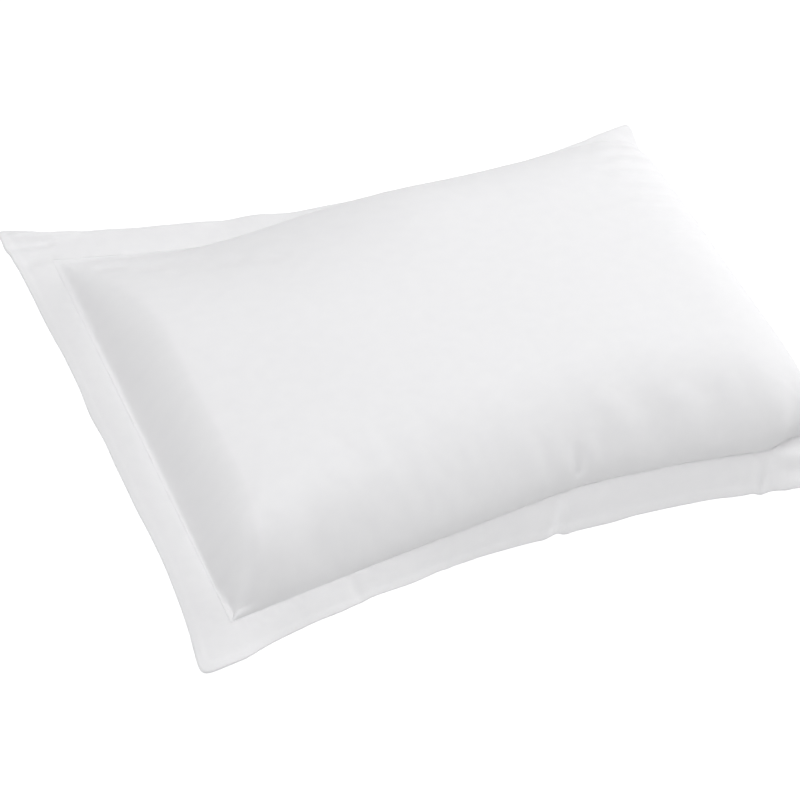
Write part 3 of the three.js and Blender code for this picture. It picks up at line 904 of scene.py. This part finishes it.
def over_grid(field, share):
    """A function that gives the panel's wrinkles on any grid lines. The middle and left keep a
    share of them, and the right end and the front keep more."""
    n, m = field.shape

    def at(us, vs):
        s, t = np.clip(us, -1, 1), np.clip(vs, -1, 1)
        rows = cubic_weights((s + 1) / 2 * (n - 1), n)
        columns = cubic_weights((t + 1) / 2 * (m - 1), m)
        at_mouth = window(s, 0.75, 1, 0.6)[:, None] * window(t, -2, 0.2, 0.4)[None, :]
        along_front = window(t, -2, -0.75, 0.4)[None, :]
        more = MORE_AT_MOUTH * at_mouth + MORE_ALONG_FRONT * along_front
        at_corner = window(s, 0.6, 2, 0.3)[:, None] * window(t, -2, -0.1, 0.4)[None, :]
        calm = 1 - CALM_AT_CORNER * at_corner
        return share * (1 + more) * calm * (rows @ field @ columns.T)

    return at


# ---- materials


def set_inputs(tree, target, inputs):
    """Sets inputs of a node, each to a value or to the output socket that it is linked from."""
    for key, value in inputs.items():
        if isinstance(value, bpy.types.NodeSocket):
            tree.links.new(value, target.inputs[key])
        else:
            target.inputs[key].default_value = value


def node(tree, kind, inputs=None, **settings):
    made = tree.nodes.new(kind)
    for key, value in settings.items():
        setattr(made, key, value)
    set_inputs(tree, made, inputs or {})
    return made


def math_node(tree, operation, a, b=0.0):
    return node(tree, "ShaderNodeMath", {0: a, 1: b}, operation=operation).outputs[0]


def new_material(name, roughness, sheen):
    material = bpy.data.materials.new(name)
    material.use_nodes = True
    tree = material.node_tree
    shader = tree.nodes["Principled BSDF"]
    set_inputs(tree, shader, {"Roughness": roughness, "Specular IOR Level": 0.25})
    set_inputs(tree, shader, {"Sheen Weight": sheen, "Sheen Roughness": 0.5})
    return material, tree, shader


def cloth_place(tree):
    """Where a point was in the flat cloth, in metres, and how much darker its colour is made near an
    edge.
    """
    attribute = node(tree, "ShaderNodeAttribute", attribute_name="cloth")
    parts = node(tree, "ShaderNodeSeparateXYZ", {0: attribute.outputs["Vector"]})
    return parts.outputs


def streaks(tree, place, across, along, seed):
    """Noise drawn out along one way of the cloth, as uneven yarns make."""
    x = math_node(tree, "DIVIDE", place[0], across)
    y = math_node(tree, "DIVIDE", place[1], along)
    vector = node(tree, "ShaderNodeCombineXYZ", {0: x, 1: y, 2: seed}).outputs[0]
    return node(tree, "ShaderNodeTexNoise", {"Vector": vector, "Detail": 2.0}).outputs["Fac"]


def mix_tones(tree, shader, factor, low, high):
    """Links a base colour that runs from one tone to the other as factor runs from 0 to 1."""
    tone = node(tree, "ShaderNodeMix", {0: factor}, data_type="RGBA", clamp_factor=True)
    first, second = (socket for socket in tone.inputs if socket.type == "RGBA")
    first.default_value = (*low, 1)
    second.default_value = (*high, 1)
    mixed = next(socket for socket in tone.outputs if socket.type == "RGBA")
    set_inputs(tree, shader, {"Base Color": mixed})


def add_relief(tree, shader, height, strength, depth):
    """Links a bump of this strength and depth, in metres."""
    inputs = {"Height": height, "Strength": strength, "Distance": depth}
    set_inputs(tree, shader, {"Normal": node(tree, "ShaderNodeBump", inputs).outputs[0]})


def woven(name, colours, yarn, roughness=0.85, sheen=0.15, bump=0.35):
    """Plain-woven cloth: crossing yarns of uneven thickness, a slow change of tone, and a
    darker colour near its edges and seams. colours are its light and its dark tone."""
    material, tree, shader = new_material(name, roughness, sheen)
    place = cloth_place(tree)
    turns = 2 * math.pi / yarn
    warp = math_node(tree, "SINE", math_node(tree, "MULTIPLY", place[0], turns))
    weft = math_node(tree, "SINE", math_node(tree, "MULTIPLY", place[1], turns))
    weave = math_node(tree, "MULTIPLY", warp, weft)
    thick, long = 1.4 * yarn, 40 * yarn
    slubs = [streaks(tree, place, thick, long, 0.0), streaks(tree, place, long, thick, 5.0)]
    slubs = math_node(tree, "ADD", *slubs)
    height = math_node(tree, "ADD", math_node(tree, "MULTIPLY", weave, 0.3), slubs)
    tone = streaks(tree, place, 90 * MM, 70 * MM, 9.0)
    mixed = math_node(tree, "ADD", math_node(tree, "MULTIPLY", slubs, 0.25), tone)
    # darker colour near edges and seams, as the cloth attribute gives it
    edge_darkening = math_node(tree, "MULTIPLY", place[2], 0.5)
    factor = math_node(tree, "SUBTRACT", math_node(tree, "ADD", mixed, edge_darkening), 0.5)
    mix_tones(tree, shader, factor, *colours)
    add_relief(tree, shader, height, bump, yarn / 4)
    return material


def percale():
    tones = ((0.9, 0.9, 0.902), (0.875, 0.875, 0.88))
    return woven("percale", tones, 0.5 * MM)


def ticking():
    tones = ((0.86, 0.85, 0.81), (0.8, 0.785, 0.735))
    return woven("ticking", tones, 0.7 * MM, roughness=0.9, sheen=0.1, bump=0.5)


def label_tape():
    tones = ((0.86, 0.86, 0.86), (0.8, 0.8, 0.8))
    return woven("label_tape", tones, 0.4 * MM, roughness=0.5, sheen=0.3, bump=0.4)


def sewing_thread():
    """Two plies twisted together, run along each stitch, with painted shade: darker in the groove
    between the plies and lighter on their crests.
    """
    material, tree, shader = new_material("sewing_thread", 0.6, 0.3)
    place = cloth_place(tree)
    twist = math_node(tree, "ADD", math_node(tree, "MULTIPLY", place[0], 14.0), place[1])
    plies = math_node(tree, "SINE", math_node(tree, "MULTIPLY", twist, 2.0))
    # painted shade: the colour follows the plies' relief, dark in the grooves and light on the crests
    painted_ply_shade = math_node(tree, "MULTIPLY_ADD", plies, 0.5)
    mix_tones(tree, shader, painted_ply_shade, (0.84, 0.84, 0.85), (0.9, 0.9, 0.905))
    add_relief(tree, shader, plies, 0.5, 0.1 * MM)
    return material


def fibre():
    """Loose crimped fibre: soft tangles at two sizes."""
    material, tree, shader = new_material("fibre", 1.0, 0.5)
    deep = (4 * MM, 4 * MM, 4 * MM)
    set_inputs(tree, shader, {"Subsurface Weight": 0.3, "Subsurface Radius": deep})
    place = node(tree, "ShaderNodeTexCoord").outputs["Object"]
    fine = node(tree, "ShaderNodeTexNoise", {"Vector": place, "Scale": 900.0, "Distortion": 2.0})
    tangle = node(tree, "ShaderNodeTexNoise", {"Vector": place, "Scale": 120.0, "Distortion": 1.0})
    both = math_node(tree, "ADD", fine.outputs["Fac"], tangle.outputs["Fac"])
    mix_tones(tree, shader, tangle.outputs["Fac"], (0.93, 0.925, 0.9), (0.85, 0.84, 0.81))
    add_relief(tree, shader, both, 0.8, 1.0 * MM)
    return material


# ---- light, floor and camera

CAMERA_AZIMUTH = math.radians(41.0)  # direction it looks in, from +Y towards +X
CAMERA_ELEVATION = math.radians(47.6)
CAMERA_ROLL = math.radians(-19.2)
CAMERA_DISTANCE = 2.1586
CAMERA_AIM = Vector((-0.081, -0.0395, SEAM_Z))
CAMERA_LENS_MM = 90
CAMERA_SENSOR_MM = 36

FLOOR_REACH = 40
FLOOR_TONE = 0.15
FLOOR_GLOW = (0.97, 0.78)  # near the pillow and far from it
GLOW_FADES = (1.1, 2.6)  # from the origin

WORLD_TONE = (0.99, 0.985, 1)
WORLD_STRENGTH = 0.475
VIEW_GAMMA = 0.7  # the contrast of the photograph


def add_camera():
    level = math.cos(CAMERA_ELEVATION)
    x, y = math.sin(CAMERA_AZIMUTH) * level, math.cos(CAMERA_AZIMUTH) * level
    forward = Vector((x, y, -math.sin(CAMERA_ELEVATION)))
    data = bpy.data.cameras.new("camera")
    data.lens = CAMERA_LENS_MM
    data.sensor_width = CAMERA_SENSOR_MM
    camera = add_object("camera", data)
    camera.location = CAMERA_AIM - forward * CAMERA_DISTANCE
    turn = forward.to_track_quat("-Z", "Y").to_matrix()
    camera.rotation_euler = (turn @ Matrix.Rotation(-CAMERA_ROLL, 3, "Z")).to_euler()
    bpy.context.scene.camera = camera


def add_floor():
    mesh = bpy.data.meshes.new("floor")
    corners = [(x * FLOOR_REACH, y * FLOOR_REACH, 0) for x, y in ((-1, -1), (1, -1), (1, 1), (-1, 1))]
    mesh.from_pydata(corners, [], [(0, 1, 2, 3)])
    floor = add_object("floor", mesh)
    material = bpy.data.materials.new("floor")
    material.use_nodes = True
    tree = material.node_tree
    shader = tree.nodes["Principled BSDF"]
    tone = (FLOOR_TONE, FLOOR_TONE, FLOOR_TONE, 1)
    set_inputs(tree, shader, {"Base Color": tone, "Roughness": 1, "Emission Color": (1, 1, 1, 1)})
    place = node(tree, "ShaderNodeTexCoord").outputs["Object"]
    away = node(tree, "ShaderNodeVectorMath", {0: place}, operation="LENGTH").outputs["Value"]
    glow = node(tree, "ShaderNodeMapRange", {0: away}, interpolation_type="SMOOTHSTEP")
    for socket, value in zip(list(glow.inputs)[1:5], (*GLOW_FADES, *FLOOR_GLOW)):
        socket.default_value = value
    set_inputs(tree, shader, {"Emission Strength": glow.outputs[0]})
    mesh.materials.append(material)


def area_light(name, direction, distance, size, power):
    """A round soft light of so many watts, which faces the origin."""
    data = bpy.data.lights.new(name, "AREA")
    data.shape = "DISK"
    data.size = size
    data.energy = power
    light = add_object(name, data)
    away = Vector(direction).normalized()
    light.location = away * distance
    light.rotation_euler = (-away).to_track_quat("-Z", "Y").to_euler()


def add_light():
    world = bpy.data.worlds.new("studio")
    bpy.context.scene.world = world
    world.use_nodes = True
    tree = world.node_tree
    sky = {"Color": (*WORLD_TONE, 1), "Strength": WORLD_STRENGTH}
    set_inputs(tree, tree.nodes["Background"], sky)
    area_light("overhead", direction=(-0.19, 0.0, 1), distance=3.0, size=2.0, power=42)
    area_light("side", direction=(1, 0.1, 0.5), distance=1.7, size=1.0, power=7.6)
    view = bpy.context.scene.view_settings
    view.view_transform = "Standard"
    view.gamma = VIEW_GAMMA


# ---- assembly


def finish_piece(piece, replaced, material, body="pillow"):
    """Gives a piece its material, hides the CAD node that it stands for and attaches the piece
    to its body. A piece given no body is left unattached here."""
    piece.data.materials.append(material)
    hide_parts(replaced)
    if body:
        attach(piece, body)
    return piece


def add_case():
    top, under = settled_wrinkles()
    cloth, thread, tape = percale(), sewing_thread(), label_tape()
    front = case_front(over_grid(top, WRINKLE_SHARE["front"]))
    finish_piece(front, "case_front", cloth)
    back = case_back(over_grid(under, WRINKLE_SHARE["back"]))
    finish_piece(back, "case_back", cloth)
    flap = finish_piece(case_flap(), "case_flap", cloth, None)
    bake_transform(flap)
    needle = border_row("border_needle_stitches", front_surface, 1)
    bobbin = border_row("border_bobbin_stitches", back_surface, -1)
    rows = {
        "border_needle_thread": needle,
        "border_bobbin_thread": bobbin,
        "edge_seam_thread": edge_seam_row(),
        "mouth_hem_thread": mouth_hem_rows(),
        "bar_tack_front": bar_tack("bar_tack_front", -1),
        "bar_tack_back": bar_tack("bar_tack_back", 1),
    }
    for replaced, piece in rows.items():
        finish_piece(piece, replaced, thread)
    flap_row = finish_piece(flap_hem_row(), "flap_hem_thread", thread, "flap")
    care = label("case_label", back_inside, 1)
    finish_piece(care, "case_label", tape)


def add_inner_pillow():
    cloth, thread, tape = ticking(), sewing_thread(), label_tape()
    halves = (
        ("ticking_top", 1, "fill_top_wadding"),
        ("ticking_bottom", -1, "fill_bottom_wadding"),
    )
    for name, side, under in halves:
        half = finish_piece(ticking_half(name + "_cloth", side), name, cloth)
    finish_piece(piping(), "ticking_piping", cloth)
    ring = inner_ring(TICKING_INSET - TICKING_FLANGE / 2, SEAM_Z)
    seam = row_of_stitches("ticking_seam_stitches", ring, UP)
    finish_piece(seam, "ticking_seam_thread", thread)
    finish_piece(closing_stitches(), "closing_stitches", thread)
    care = label("ticking_label", ticking_outside, -1)
    finish_piece(care, "ticking_label", tape)
    wadding = fibre()
    layers = (
        ("fill_core_wadding", "fill_core", -CORE_SHARE, CORE_SHARE, CORE_FILL),
        ("fill_top_wadding", "fill_top_layer", CORE_SHARE, 1, LAYER_FILL),
        ("fill_bottom_wadding", "fill_bottom_layer", -1, -CORE_SHARE, LAYER_FILL),
    )
    for name, replaced, low, high, fill in layers:
        piece = filling(name, low, high)
        finish_piece(piece, replaced, wadding)


add_inner_pillow()
add_case()
add_floor()
add_light()
add_camera()
